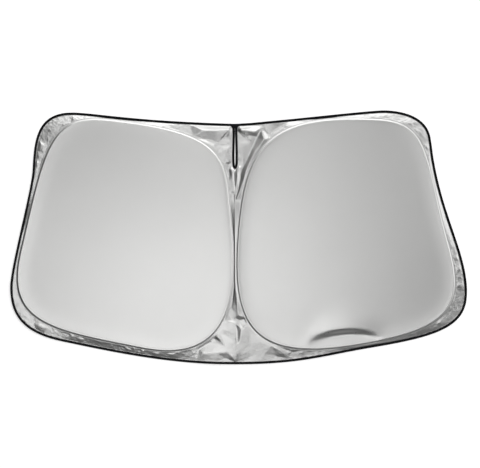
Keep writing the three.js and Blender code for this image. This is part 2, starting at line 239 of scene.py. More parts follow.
def smooth_closed(points, corner, step, fine_step=None, near_x=0.0):
    """Carries a soft curve through a closed run of points, keeping the corners that are sharp.

    The steps are shorter near the line x = near_x when a fine step is given.
    """
    count = len(points)
    before = points - np.roll(points, 1, axis=0)
    after = np.roll(points, -1, axis=0) - points
    run_in = np.hypot(*before.T)[:, None]
    run_out = np.hypot(*after.T)[:, None]
    turn = np.abs(np.arctan2(
        before[:, 0] * after[:, 1] - before[:, 1] * after[:, 0],
        (before * after).sum(1),
    ))
    slope = (before / run_in * run_out + after / run_out * run_in) / (run_in + run_out)
    sharp = turn > corner
    slope_in = np.where(sharp[:, None], before / run_in, slope)
    slope_out = np.where(sharp[:, None], after / run_out, slope)
    made = []
    kept = []
    for i in range(count):
        j = (i + 1) % count
        length = run_out[i, 0]
        close = fine_step and abs((points[i, 0] + points[j, 0]) / 2 - near_x) < GUSSET_REACH
        pieces = max(1, int(round(length / (fine_step if close else step))))
        t = np.arange(pieces)[:, None] / pieces
        p, q = points[i], points[j]
        m, n = slope_out[i] * length, slope_in[j] * length
        kept.append(sum(len(x) for x in made))
        made.append((2 * t**3 - 3 * t**2 + 1) * p + (t**3 - 2 * t**2 + t) * m
                    + (-2 * t**3 + 3 * t**2) * q + (t**3 - t**2) * n)
    return np.vstack(made), np.array(kept)


def unit(vectors):
    return vectors / np.maximum(np.linalg.norm(vectors, axis=-1, keepdims=True), 1e-12)


def right_of(vectors):
    return np.stack([vectors[..., 1], -vectors[..., 0]], axis=-1)


def at_bearing(line, centre, towards):
    """Where rays from the centre towards some points cross a closed line, and the way out there."""
    def bearing(points):
        return np.arctan2(points[:, 1] - centre[1], points[:, 0] - centre[0])

    angle = np.unwrap(bearing(line))
    if angle[-1] > angle[0]:
        line = line[::-1]
        angle = np.unwrap(bearing(line))
    goal = angle[0] - np.mod(angle[0] - bearing(towards), 2 * np.pi)
    whole = np.vstack([line, line[:1]])
    angles = np.append(angle, angle[0] - 2 * np.pi)
    ahead = np.roll(line, -1, axis=0) - np.roll(line, 1, axis=0)
    outward = unit(-right_of(ahead))
    outward = np.vstack([outward, outward[:1]])
    place, way = (
        np.stack([np.interp(-goal, -angles, run[:, k]) for k in (0, 1)], axis=1)
        for run in (whole, outward)
    )
    return place, unit(way)


class Layout:
    """Where everything lies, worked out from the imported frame."""

    def __init__(self, sizes):
        self.sizes = sizes
        tape_low, tape_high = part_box("edge_binding")
        sleeve_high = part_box("left_hoop_sleeve")[1][2]
        wire_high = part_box("left_hoop_wire")[1][2]
        self.tape_low = tape_low[2]
        self.tape_high = tape_high[2]
        self.hem = (tape_low[2] + tape_high[2]) / 2
        self.seam = sleeve_high + sizes.cloth_gap + sizes.cloth_thickness / 2
        self.crest = wire_high + sizes.crest_gap
        edge = bound_edge()
        self.fold_x = float(edge[0, 0])
        self.edge, kept = smooth_closed(
            edge, EDGE_CORNER, sizes.station_step, sizes.fine_step, self.fold_x)
        on_fold = np.abs(edge[:, 0] - self.fold_x) < 1 * MM
        foot = kept[0]
        lowest = kept[int(np.argmin(np.where(on_fold, edge[:, 1], np.inf)))]
        self.foot_y = float(self.edge[lowest, 1])
        self.slit_foot_y = float(self.edge[foot, 1])
        self.slit_mouth_y = float(edge[np.argmax(np.where(on_fold, edge[:, 1], -np.inf)), 1])
        self._close_slit()
        self.edge_way = self._inward(self.edge)
        self.edge_lift = self.lift_at(self.edge)
        runs = {
            "right": np.arange(foot, lowest + 1),
            "left": np.insert(np.arange(len(self.edge) - 1, lowest - 1, -1), 0, foot),
        }
        self.halves = {name: self._half(name, side, runs[name]) for name, side in HALVES.items()}

    def _close_slit(self):
        """Lets the sides of the slit meet at its mouth and draws its foot to a point."""
        widest = self.sizes.slit_half_gap
        closed = 0.12 * MM
        foot, mouth = self.slit_foot_y, self.slit_mouth_y
        point_run, point_share = 14 * MM, 0.8
        foot_run, foot_rise = 40 * MM, 3.5 * MM
        mouth_run = 34 * MM
        away = self.edge[:, 0] - self.fold_x
        y = self.edge[:, 1]
        slit = (np.abs(away) < 4 * MM) & (y > foot - 1 * MM) & (y < mouth + 1 * MM)
        half_gap = np.interp(
            y,
            [foot, foot + point_run, foot + foot_run, mouth - mouth_run, mouth],
            [0.0, point_share * widest, widest, closed, closed],
        )
        self.edge[slit, 0] = self.fold_x + np.sign(away[slit]) * half_gap[slit]
        self.edge[slit, 1] += (np.clip(1 - (y - foot) / foot_run, 0, 1) * foot_rise)[slit]

    def lift_at(self, points):
        """How far the loose edge stands off the ground."""
        x = (points[..., 0] - self.fold_x) / MM
        y = (points[..., 1] - self.foot_y) / MM
        lift = np.zeros(x.shape)
        for middle_x, middle_y, reach, height in EDGE_LIFTS:
            lift += height * np.exp(-((x - middle_x) ** 2 + (y - middle_y) ** 2) / reach**2)
        return lift * MM

    def _inward(self, points):
        """The way into the cloth at each point of the clockwise edge, mitred at corners."""
        ahead = unit(np.roll(points, -1, axis=0) - points)
        behind = np.roll(ahead, 1, axis=0)
        middle = unit(ahead + behind)
        reach = 1 / np.maximum((middle * ahead).sum(1, keepdims=True), 0.5)
        return right_of(middle) * reach

    def _half(self, name, side, index):
        """One half's stations round its hoop: up the fold, then along the bound edge to its foot."""
        sizes = self.sizes
        line, _ = smooth_closed(hoop_line(name), WIRE_CORNER, sizes.station_step)
        centre = line.mean(0)
        hem = self.edge[index]
        way = self.edge_way[index].copy()
        way[0] = (0, -1)
        way[-1] = (0, 1)
        tape = sizes.tape_width
        clearance = 4 * MM
        held = hem + way * (tape + sizes.hem_inset)
        gap_low = self.foot_y + tape + clearance
        gap_high = self.slit_foot_y - tape - clearance
        narrow_low = self.foot_y + 250 * MM
        narrow_high = self.foot_y + 540 * MM
        ys = np.concatenate([
            np.linspace(low, high, int((high - low) / step), endpoint=high == gap_high)
            for low, high, step in (
                (gap_low, narrow_low, sizes.fine_step),
                (narrow_low, narrow_high, sizes.station_step),
                (narrow_high, gap_high, sizes.fine_step),
            )
        ])
        if (len(ys) + len(hem)) % 2:
            ys = np.insert(ys, 1, (ys[0] + ys[1]) / 2)
        count = len(ys)
        fold = np.stack([np.full(count, self.fold_x), ys], axis=1)
        edge = np.vstack([fold, hem + way * sizes.hem_inset])
        flat = np.vstack([fold, held])
        beside = self.fold_x + side * 3 * MM
        flat[count] = (beside, held[0, 1])
        flat[-1] = (beside, held[-1, 1])
        bound = np.append(np.zeros(count, bool), np.ones(len(hem), bool))
        hoop, outward = at_bearing(line, centre, edge)
        along = (edge[:, 1] - self.foot_y) / MM
        ridge = np.interp(along, *np.array(FOLD_LINE).T) * MM
        return {
            "hem_level": self.hem + np.where(bound, self.lift_at(edge), ridge),
            "side": side, "line": line, "centre": centre, "edge": edge, "flat": flat,
            "bound": bound, "hoop": hoop, "outward": outward, "fold_count": count,
        }


def crease_field(layout, name):
    """Triangles between the sewn edge, the seam and the creases of one half's loose cloth."""
    sizes = layout.sizes
    half = layout.halves[name]
    side = half["side"]
    draw = np.random.default_rng(11 if side < 0 else 29)
    widest_ditch = 60 * MM
    narrowest_ditch = 5 * sizes.ditch_reach
    clear_of_creases = 30 * MM
    end_stations = 4
    seam = half["hoop"] + half["outward"] * sizes.seam_reach
    flat = half["flat"]
    points = []
    heights = []
    lines = []

    def put(xy, z):
        points.append((float(xy[0]), float(xy[1])))
        heights.append(float(z))

    travelled = np.inf
    for i in range(len(flat)):
        travelled += distance(flat[i], flat[i - 1])
        if travelled < sizes.pucker_step and i + 1 < len(flat):
            continue
        travelled = 0.0
        put(flat[i], half["hem_level"][i])
        put(seam[i], layout.seam)
        width = distance(flat[i], seam[i])
        if half["bound"][i] and narrowest_ditch < width < widest_ditch:
            ditch = layout.hem + sizes.ditch_height * draw.uniform(0.8, 1.2)
            ditch = min(max(ditch, half["hem_level"][i]), layout.seam)
            put(seam[i] + half["outward"][i] * sizes.ditch_reach, ditch)
    hand = []
    for run in UPPER_CREASES + LOWER_CREASES:
        last = None
        for x, y, z in run:
            if x * side < -CREASE_OVERLAP:
                last = None
                continue
            place = (layout.fold_x + x * MM, layout.foot_y + y * MM)
            put(place, layout.hem + z * MM)
            hand.append(place)
            if last is not None:
                lines.append((last, len(points) - 1))
            last = len(points) - 1
    hand = np.array(hand)
    i = half["fold_count"] + end_stations
    while i < len(flat) - end_stations:
        width = distance(flat[i], seam[i])
        share = draw.uniform(0.3, 0.75)
        place = flat[i] * (1 - share) + seam[i] * share
        base = half["hem_level"][i] * (1 - share) + (layout.hem + sizes.ditch_height) * share
        lift = draw.uniform(-0.25, 1.0) * sizes.crumple_height * width / (width + sizes.crumple_width)
        if np.hypot(*(hand - place).T).min() > clear_of_creases:
            put(place, base + lift)
        goal = draw.uniform(0.55, 1.6) * sizes.crumple_step
        while goal > 0 and i < len(flat) - 1:
            goal -= distance(flat[i + 1], flat[i])
            i += 1
    corners, _, faces, origin, _, _ = delaunay_2d_cdt(
        [Vector(p) for p in points], lines, [], 0, 1e-7)
    corners = np.array([tuple(c) for c in corners])
    faces = np.array(faces)
    given = np.array(points)
    level = np.empty(len(corners))
    for k, sources in enumerate(origin):
        if sources:
            level[k] = heights[sources[0]]
        else:
            close = np.argsort(np.hypot(*(given - corners[k]).T))[:2]
            level[k] = np.mean([heights[c] for c in close])
    return corners, level, faces


def sample_field(field, places, outside):
    """The field's height under each place, read off the triangle that holds it."""
    corners, level, faces = field
    a, b, c = (corners[faces[:, k]] for k in range(3))
    za, zb, zc = (level[faces[:, k]] for k in range(3))
    ab, ac = b - a, c - a
    area = ab[:, 0] * ac[:, 1] - ab[:, 1] * ac[:, 0]
    result = np.array(outside, dtype=float)
    batch = 4000
    for start in range(0, len(places), batch):
        p = places[start:start + batch]
        px = p[:, None, 0] - a[None, :, 0]
        py = p[:, None, 1] - a[None, :, 1]
        v = (px * ac[:, 1] - py * ac[:, 0]) / area
        w = (ab[:, 0] * py - ab[:, 1] * px) / area
        inside = np.minimum(np.minimum(v, w), 1 - v - w)
        best = inside.argmax(1)
        rows = np.arange(len(p))
        hit = inside[rows, best] > -1e-6
        z = za[best] + v[rows, best] * (zb - za)[best] + w[rows, best] * (zc - za)[best]
        result[start:start + len(p)][hit] = z[hit]
    return result


def bump(value, middle, spread):
    return np.exp(-((value - middle) / spread) ** 2)


def margin_heights(layout, name, places, across):
    """Height of the loose cloth: facets between the creases, with their edges rounded off."""
    hem_level = layout.halves[name]["hem_level"][None]
    field = crease_field(layout, name)
    flat_run = places.reshape(-1, 2)
    plain = (hem_level * (1 - across) + layout.seam * across).reshape(-1)
    total = np.zeros(len(flat_run))
    offsets = np.array([(0, 0), (1, 0), (-1, 0), (0, 1), (0, -1)])
    for offset in offsets:
        total += sample_field(field, flat_run + offset * layout.sizes.crease_round, plain)
    return (total / len(offsets)).reshape(across.shape)


def panel_relief(layout, name, places, depth):
    """The stretched panel: a shallow sag, and the buckle near the foot of the right hoop."""
    sizes = layout.sizes
    half = layout.halves[name]
    low, high = half["line"].min(0), half["line"].max(0)
    u = (places[..., 0] - (low[0] + high[0]) / 2) / ((high[0] - low[0]) / 2) * half["side"]
    v = (places[..., 1] - (low[1] + high[1]) / 2) / ((high[1] - low[1]) / 2)
    sag_run = 60 * MM
    sag_middle, sag_fall = 1.1, 0.5
    ease = 1 - np.exp(-depth / sag_run)
    dish = np.clip(sag_middle - sag_fall * (u**2 + v**2), 0, sag_middle)
    relief = -sizes.panel_sag * ease * dish
    x = (places[..., 0] - layout.fold_x) / MM
    y = (places[..., 1] - layout.foot_y) / MM
    if name == "right":
        relief += sizes.buckle_height * buckle_shape(x, y)
    return relief


def buckle_shape(x, y):
    """A buckle above the foot of the right hoop: a soft swell that ends in a sharp valley.

    Lengths are in millimetres, and t runs from -1 to 1 along the arch that the valley follows.
    """
    middle, span = 362, 124
    top, drop, tilt = 103, 27, 8
    swell_middle, swell_far, swell_near = 13, 42, 11
    valley_far, valley_near = 7, 24
    height, broad_share = 0.9, 0.6
    t = (x - middle) / span
    ahead = y - (top - drop * t**2 + tilt * t)
    along = np.clip(1 - t**2, 0, 1) ** 1.3
    broad = np.clip(1 - (t / 1.25) ** 2, 0, 1) ** 2
    swell = height * bump(ahead, swell_middle, np.where(ahead > swell_middle, swell_far, swell_near))
    valley = -height * bump(ahead, 0, np.where(ahead > 0, valley_far, valley_near))
    return broad * swell * broad_share + along * ((1 - broad_share) * swell + valley)


def ridge_heights(layout, across):
    """The cloth over the wire: a steep drop outside it, and inside it a short and a long one."""
    outer_run, short_run, long_run = 2.8 * MM, 6 * MM, 24 * MM
    short_share = 0.35
    rise = layout.crest - layout.seam
    inner = short_share * bump(across, 0, short_run) + (1 - short_share) * bump(across, 0, long_run)
    return layout.seam + rise * np.where(across > 0, bump(across, 0, outer_run), inner)


def over_hoop(layout, name, places, reach):
    """Points of the cloth over a wire or in its panel, at a reach outside the wire's middle."""
    reach = np.broadcast_to(reach, len(places))
    heights = ridge_heights(layout, reach)
    heights = heights + panel_relief(layout, name, places, np.maximum(0.0, -reach))
    return np.column_stack([places, heights])


def cloth_rows(layout, name):
    """Rows of points over one half, from the sewn edge to the middle of the panel."""
    sizes = layout.sizes
    half = layout.halves[name]
    edge, flat, level = half["edge"], half["flat"], half["hem_level"]
    hoop, outward = half["hoop"], half["outward"]
    seam = hoop + outward * sizes.seam_reach
    rows = [np.column_stack([edge, level]), np.column_stack([(edge + flat) / 2, level])]
    shares = np.linspace(0, 1, sizes.margin_rows)
    margin = flat[None] * (1 - shares[:, None, None]) + seam[None] * shares[:, None, None]
    across = np.repeat(shares[:, None], len(flat), axis=1)
    heights = margin_heights(layout, name, margin, across)
    sewn_share = 0.12
    ramp = np.clip(across / sewn_share, 0, 1)
    heights = level[None] * (1 - ramp) + heights * ramp
    ramp = np.clip((1 - across) / sewn_share, 0, 1)
    heights = layout.seam * (1 - ramp) + heights * ramp
    heights = np.maximum(heights, layout.hem)
    heights[0] = level
    for place, height in zip(margin, heights):
        rows.append(np.column_stack([place, height]))
    for reach in RIDGE_REACHES:
        rows.append(over_hoop(layout, name, hoop + outward * reach, reach))
    inner = hoop + outward * RIDGE_REACHES[-1]
    close, last = 0.27, 0.97
    steps = np.concatenate([np.linspace(0, close, 15)[1:], np.linspace(close, last, 9)[1:]])
    for t in steps:
        xy = inner * (1 - t) + half["centre"] * t
        rows.append(over_hoop(layout, name, xy, RIDGE_REACHES[-1] - np.hypot(*(xy - inner).T)))
    return np.array(rows)


def build_mesh(name, vertices, faces, materials, face_material=None):
    """A mesh object at the origin from its points and faces."""
    mesh = bpy.data.meshes.new(name)
    mesh.from_pydata([tuple(v) for v in vertices], [], faces)
    mesh.validate()
    piece = bpy.data.objects.new(name, mesh)
    bpy.context.scene.collection.objects.link(piece)
    for material in materials:
        mesh.materials.append(material)
    if face_material is not None:
        mesh.polygons.foreach_set("material_index", face_material)
    mesh.polygons.foreach_set("use_smooth", [True] * len(mesh.polygons))
    return piece


def cloth_mesh(layout):
    """Both faces of the whole sheet, closed round its edge.

    Returns its points, its faces, each face's side (0 coated, 1 back) and each point's slackness.
    """
    sizes = layout.sizes
    vertices = []
    faces = []
    sides = []
    slack = []
    lift = sizes.cloth_thickness / 2
    loose_rings = slice(2, sizes.margin_rows + 1)
    calm_share = 0.75
    for name, side in HALVES.items():
        rows = cloth_rows(layout, name)
        ring_count, count, _ = rows.shape
        coarse = ring_count - PANEL_RINGS
        bound = layout.halves[name]["bound"]
        base = len(vertices)
        sheet = ring_count * count + 1
        loose = np.zeros((ring_count, count))
        aside = (rows[loose_rings, :, 0] - layout.fold_x) / sizes.calm_reach
        loose[loose_rings] = 1.0 - calm_share * np.exp(-aside**4)
        for sign in (1, -1):
            shifted = rows.copy()
            shifted[..., 2] += sign * lift
            vertices += shifted.reshape(-1, 3).tolist()
            centre = rows[-1].mean(0)
            vertices.append([centre[0], centre[1], centre[2] + sign * lift])
            slack += loose.reshape(-1).tolist() + [0.0]

        def at(face, ring, i):
            return base + face * sheet + ring * count + i % count

        def add(face, side_no, clockwise):
            faces.append(face if clockwise else face[::-1])
            sides.append(side_no)

        def band(side_no, ring, i, step):
            return [at(side_no, ring, i), at(side_no, ring, i + step),
                    at(side_no, ring + 1, i + step), at(side_no, ring + 1, i)]

        for side_no in (0, 1):
            clockwise = (side > 0) == (side_no == 0)
            for i in range(count):
                for ring in range(coarse):
                    add(band(side_no, ring, i, 1), side_no, clockwise)
            for i in range(0, count, 2):
                join = band(side_no, coarse, i, 2)
                join.insert(1, at(side_no, coarse, i + 1))
                add(join, side_no, clockwise)
                for ring in range(coarse + 1, ring_count - 1):
                    add(band(side_no, ring, i, 2), side_no, clockwise)
                tip = [*band(side_no, ring_count - 1, i, 2)[:2], base + side_no * sheet + sheet - 1]
                add(tip, side_no, clockwise)
        for i in range(count):
            j = (i + 1) % count
            if bound[i] and bound[j]:
                add([at(0, 0, i), at(1, 0, i), at(1, 0, j), at(0, 0, j)], 1, side > 0)
    return vertices, faces, sides, slack


def sweep(stations, ways, section):
    """Points of a section carried round a closed run; each section point is (inward, height)."""
    section = np.asarray(section)
    xy = stations[:, None, :] + ways[:, None, :] * section[None, :, :1]
    z = np.broadcast_to(section[None, :, 1:], xy.shape[:2] + (1,))
    return np.concatenate([xy, z], axis=2)


def ring_faces(count, size, flip=False):
    faces = []
    for i in range(count):
        j = (i + 1) % count
        for k in range(size):
            m = (k + 1) % size
            quad = [i * size + k, j * size + k, j * size + m, i * size + m]
            faces.append(quad[::-1] if flip else quad)
    return faces


def outward_faces(piece):
    """Merges a closed piece's doubled points and turns its faces outwards."""
    bpy.ops.object.select_all(action="DESELECT")
    piece.select_set(True)
    bpy.context.view_layer.objects.active = piece
    bpy.ops.object.mode_set(mode="EDIT")
    bpy.ops.mesh.select_all(action="SELECT")
    bpy.ops.mesh.delete_loose()
    bpy.ops.mesh.select_all(action="SELECT")
    bpy.ops.mesh.remove_doubles(threshold=MERGE_DISTANCE)
    bpy.ops.mesh.normals_make_consistent(inside=False)
    bpy.ops.object.mode_set(mode="OBJECT")
    piece.select_set(False)


def add_node(tree, kind, **values):
    """A shader node with some inputs set; a name that has a space is given with _ for it."""
    node = tree.nodes.new(f"ShaderNode{kind}")
    for name, value in values.items():
        node.inputs[name.replace("_", " ")].default_value = value
    return node


def link(tree, source, out, goal, into):
    tree.links.new(source.outputs[out], goal.inputs[into])


def start_group(name, inputs, outputs):
    """A shared group that takes a vector and some named values, and gives named values."""
    group = bpy.data.node_groups.new(name, "ShaderNodeTree")
    group.interface.new_socket(name="Vector", in_out="INPUT", socket_type="NodeSocketVector")
    for label, value in inputs:
        socket = group.interface.new_socket(
            name=label, in_out="INPUT", socket_type="NodeSocketFloat")
        socket.default_value = value
    for label in outputs:
        group.interface.new_socket(name=label, in_out="OUTPUT", socket_type="NodeSocketFloat")
    return group, group.nodes.new("NodeGroupInput"), group.nodes.new("NodeGroupOutput")


def math_node(tree, operation, first, second=None):
    node = add_node(tree, "Math")
    node.operation = operation
    for k, value in enumerate((first, second)):
        if isinstance(value, (int, float)):
            node.inputs[k].default_value = value
        elif value is not None:
            tree.links.new(value, node.inputs[k])
    return node.outputs[0]


def weave_group():
    """Crossed threads: the height of a plain weave."""
    group, enter, leave = start_group("Thread Weave", [("Threads per Metre", 2400.0)], ["Height"])
    split = add_node(group, "SeparateXYZ")
    link(group, enter, "Vector", split, 0)
    turns = math_node(group, "MULTIPLY", enter.outputs["Threads per Metre"], math.pi)
    warp, weft = (
        math_node(group, "SINE", math_node(group, "MULTIPLY", split.outputs[k], turns))
        for k in (0, 1)
    )
    crossing = math_node(group, "MULTIPLY", warp, weft)
    group.links.new(math_node(group, "ABSOLUTE", crossing), leave.inputs["Height"])
    return group


def cloud_group():
    """Slow and fine unevenness of a coating, each as a value round 0.5."""
    group, enter, leave = start_group(
        "Coating Clouds", [("Slow Scale", 5.0), ("Fine Scale", 90.0)], ["Slow", "Fine"])
    for name in ("Slow", "Fine"):
        noise = add_node(group, "TexNoise", Detail=3.0)
        link(group, enter, "Vector", noise, "Vector")
        link(group, enter, f"{name} Scale", noise, "Scale")
        link(group, noise, "Fac", leave, name)
    return group


def crinkle_group():
    """The fine crinkle of a slack foil coating, as a height."""
    group, enter, leave = start_group("Foil Crinkle", [("Cells per Metre", 80.0)], ["Height"])
    warp_width, fine_ratio = 0.02, 2.2
    warp = add_node(group, "TexNoise", Scale=45.0)
    link(group, enter, "Vector", warp, "Vector")
    shift = add_node(group, "VectorMath")
    shift.operation = "MULTIPLY_ADD"
    link(group, warp, "Color", shift, 0)
    shift.inputs[1].default_value = (warp_width, warp_width, 0.0)
    link(group, enter, "Vector", shift, 2)
    cells = add_node(group, "TexVoronoi")
    cells.feature = "F1"
    link(group, shift, "Vector", cells, "Vector")
    link(group, enter, "Cells per Metre", cells, "Scale")
    fine = add_node(group, "TexNoise", Detail=2.0)
    link(group, shift, "Vector", fine, "Vector")
    fine_scale = math_node(group, "MULTIPLY", enter.outputs["Cells per Metre"], fine_ratio)
    group.links.new(fine_scale, fine.inputs["Scale"])
    total = math_node(group, "ADD", cells.outputs["Distance"], fine.outputs["Fac"])
    group.links.new(total, leave.inputs["Height"])
    return group


def shared_node(tree, name, maker):
    """A node in a tree that runs a shared group, which is made when it is first asked for."""
    node = add_node(tree, "Group")
    node.node_tree = bpy.data.node_groups.get(name) or maker()
    return node


def add_crinkle(material, height):
    """Crinkles a finish where its mesh says that the cloth is slack."""
    tree = material.node_tree
    weave = next(n for n in tree.nodes if n.bl_idname == "ShaderNodeBump")
    coordinates = next(n for n in tree.nodes if n.bl_idname == "ShaderNodeTexCoord")
    slack = add_node(tree, "Attribute")
    slack.attribute_name = "slack"
    crinkle = shared_node(tree, "Foil Crinkle", crinkle_group)
    link(tree, coordinates, "Object", crinkle, "Vector")
    relief = add_node(tree, "Bump", Distance=height)
    link(tree, slack, "Fac", relief, "Strength")
    link(tree, crinkle, "Height", relief, "Height")
    link(tree, relief, "Normal", weave, "Normal")


def shaded(colour, share):
    return [share * c for c in colour]


def new_material(name):
    material = bpy.data.materials.new(name)
    material.use_nodes = True
    return material, material.node_tree, material.node_tree.nodes["Principled BSDF"]


def finish_material(name, colour, second, rough, metal, threads, bump_height, spread=0.06):
    """A cloth or metal finish: two near colours in clouds, uneven roughness and a weave.

    The threads are counted per metre, and the bump height is in metres.
    """
    material, tree, shader = new_material(name)
    shader.inputs["Metallic"].default_value = metal
    coordinates = add_node(tree, "TexCoord")
    clouds = shared_node(tree, "Coating Clouds", cloud_group)
    link(tree, coordinates, "Object", clouds, "Vector")
    mix = add_node(tree, "Mix")
    mix.data_type = "RGBA"
    mix.inputs["A"].default_value = (*colour, 1)
    mix.inputs["B"].default_value = (*second, 1)
    link(tree, clouds, "Slow", mix, "Factor")
    link(tree, mix, "Result", shader, "Base Color")
    span = add_node(tree, "MapRange", To_Min=rough - spread, To_Max=rough + spread)
    link(tree, clouds, "Fine", span, "Value")
    link(tree, span, "Result", shader, "Roughness")
    weave = shared_node(tree, "Thread Weave", weave_group)
    weave.inputs["Threads per Metre"].default_value = threads
    link(tree, coordinates, "Object", weave, "Vector")
    relief = add_node(tree, "Bump", Distance=bump_height, Strength=WEAVE_STRENGTH)
    link(tree, weave, "Height", relief, "Height")
    link(tree, relief, "Normal", shader, "Normal")
    return material


def mm_size(name, default, description):
    """A size that the user can change, given in millimetres."""
    return FloatProperty(
        name=name, description=description, default=default * MM, unit="LENGTH")


def tint(name, default, description):
    return FloatVectorProperty(
        name=name, description=description, default=default, subtype="COLOR")


class SunshadeSizes(bpy.types.PropertyGroup):
    """Sizes of the sheet, its tape and its creases."""

    cloth_thickness: mm_size("Cloth Thickness", 0.4, "Thickness of the coated cloth")
    cloth_gap: mm_size("Sewn Gap", 0.3, "Space between the cloth and the sleeve sewn to it")
    crest_gap: mm_size("Crest Gap", 0.75, "Middle of the cloth above the top of the wire")
    ditch_reach: mm_size("Ditch Reach", 3.0, "Seam to the bottom of the ditch that runs outside it")
    ditch_height: mm_size("Ditch Height", 2.5, "Bottom of that ditch above the sewn edge")
    sleeve_thickness: mm_size("Sleeve Thickness", 0.5, "Thickness of the strip that holds the wire")
    stitch_reach: mm_size("Stitch Reach", 5.4, "Middle of the wire to the stitches beside it")
    seam_reach: mm_size("Seam Reach", 6.8, "Middle of the wire to where the loose cloth begins")
    tape_width: mm_size("Tape Width", 8.2, "Width of the binding on each face")
    slit_half_gap: mm_size("Slit Half Gap", 1.6, "Middle of the slit to its edge where it is widest")
    hem_inset: mm_size("Hem Inset", 1.1, "Raw edge of the cloth to the fold of the tape")
    station_step: mm_size("Mesh Step", 7.4, "Length of a mesh step round the sheet")
    fine_step: mm_size(
        "Fine Step", 4.4, "Length of a mesh step beside the loose cloth in the middle")
    margin_rows: IntProperty(
        name="Margin Rows", description="Rows of mesh across the loose cloth", default=24)
    crumple_height: mm_size("Crumple Height", 5.5, "Greatest height of a crease in a wide margin")
    crumple_width: mm_size("Crumple Width", 28, "Width of margin at which creases reach half height")
    crumple_step: mm_size("Crumple Step", 30, "Usual distance from crease to crease")
    pucker_step: mm_size("Pucker Step", 13, "Distance between the folds' feet along a seam")
    calm_reach: mm_size("Calm Reach", 170, "How far from the fold the cloth has broad creases only")
    crease_round: mm_size("Crease Rounding", 1.6, "How far a crease is rounded off")
    panel_sag: mm_size("Panel Sag", 1.4, "Depth of the dish that a panel hangs in")
    buckle_height: mm_size("Buckle Height", 3.8, "Height of the buckle in the right panel")


class SunshadeColours(bpy.types.PropertyGroup):
    """Colours of the finishes."""

    silver: tint("Silver", (0.82, 0.82, 0.81), "Coated face of the cloth")
    silver_dark: tint("Silver Shade", (0.78, 0.78, 0.77), "Slightly thinner coating")
    lining: tint("Lining", (0.42, 0.42, 0.415), "Uncoated back of the cloth")
    tape: tint("Tape", (0.008, 0.008, 0.009), "Black binding tape")
    thread: tint("Thread", (0.5, 0.5, 0.5), "Grey sewing thread")
    steel: tint("Steel", (0.45, 0.46, 0.47), "Spring steel")


class SUNSHADE_OT_cloth(bpy.types.Operator):
    """Lays the silver cloth over both hoops"""

    bl_idname = "sunshade.cloth"
    bl_label = "Silver Cloth"

    def execute(self, context):
        layout = Layout(context.scene.sunshade_sizes)
        colours = context.scene.sunshade_colours
        coated = finish_material("Silver Coating", colours.silver, colours.silver_dark,
                                 rough=0.3, metal=0.95, threads=CLOTH_THREADS,
                                 bump_height=0.02 * MM, spread=0.01)
        add_crinkle(coated, 0.55 * MM)
        lining = finish_material("Cloth Back", colours.lining, shaded(colours.lining, 0.94),
                                 rough=0.7, metal=0.2, threads=CLOTH_THREADS,
                                 bump_height=0.08 * MM)
        vertices, faces, sides, slack = cloth_mesh(layout)
        piece = build_mesh("coated_cloth", vertices, faces, [coated, lining], sides)
        loose = piece.data.attributes.new("slack", "FLOAT", "POINT")
        loose.data.foreach_set("value", slack)
        outward_faces(piece)
        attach(piece, BODY)
        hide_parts("silver_cloth")
        return {"FINISHED"}


class SUNSHADE_OT_binding(bpy.types.Operator):
    """Folds the black tape over the edge and the slit"""

    bl_idname = "sunshade.binding"
    bl_label = "Edge Binding"

    def execute(self, context):
        sizes = context.scene.sunshade_sizes
        colours = context.scene.sunshade_colours
        layout = Layout(sizes)
        low, high = layout.tape_low, layout.tape_high
        width = sizes.tape_width
        rise = (high - low) / 2
        mid = layout.hem
        outer = [(rise * (1 - math.sin(a)), mid - rise * math.cos(a))
                 for a in np.linspace(0, math.pi, 7)]
        bore = rise - TAPE_WALL
        inner = [(rise - bore * math.sin(a), mid + bore * math.cos(a))
                 for a in np.linspace(0, math.pi, 5)]
        section = [(width, low), *outer, (width, high), (width, high - TAPE_WALL), *inner,
                   (width, low + TAPE_WALL)]
        vertices = sweep(layout.edge, layout.edge_way, section)
        vertices[..., 2] += layout.edge_lift[:, None]
        faces = ring_faces(len(layout.edge), len(section))
        tape = finish_material("Black Tape", colours.tape, shaded(colours.tape, 1.6),
                               rough=0.9, metal=0.0, threads=1500.0, bump_height=0.15 * MM)
        tape.node_tree.nodes["Principled BSDF"].inputs["Specular IOR Level"].default_value = 0.15
        piece = build_mesh("bound_edge", vertices.reshape(-1, 3), faces, [tape])
        outward_faces(piece)
        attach(piece, BODY)
        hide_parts("edge_binding")
        mouth = mouth_tape(layout, tape)
        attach(mouth, BODY)
        return {"FINISHED"}


def mouth_tape(layout, material):
    """The folded ends of the tape, one over the other and sewn down at the mouth of the slit."""
    clearance = 0.05 * MM
    bevel = 0.35
    vertices = []
    for share, inset in ((0.0, 0.0), (0.7, 0.0), (1.0, bevel)):
        for x, y in MOUTH_OUTLINE:
            place = np.array([layout.fold_x + (x - math.copysign(inset, x)) * MM,
                              layout.slit_mouth_y + (y + inset * 0.5) * MM])
            level = layout.tape_high + clearance + layout.lift_at(place) + share * TAPE_WALL
            vertices.append((*place, level))
    count = len(MOUTH_OUTLINE)
    faces = [list(range(count)), list(range(3 * count - 1, 2 * count - 1, -1))]
    for a, b in ((0, count), (count, 2 * count)):
        for i in range(count):
            j = (i + 1) % count
            faces.append([a + i, b + i, b + j, a + j])
    piece = build_mesh("mouth_tape", vertices, faces, [material])
    piece.data.polygons.foreach_set("use_smooth", [False] * len(piece.data.polygons))
    outward_faces(piece)
    return piece


def sleeve_profile(across, tunnel, floor):
    """How far up the wall of a tunnel a place across it is: 0 on its floor, 1 from its edge on."""
    t = np.clip((np.abs(across) - floor) / (tunnel - floor), 0, 1)
    return t * t * (3 - 2 * t)


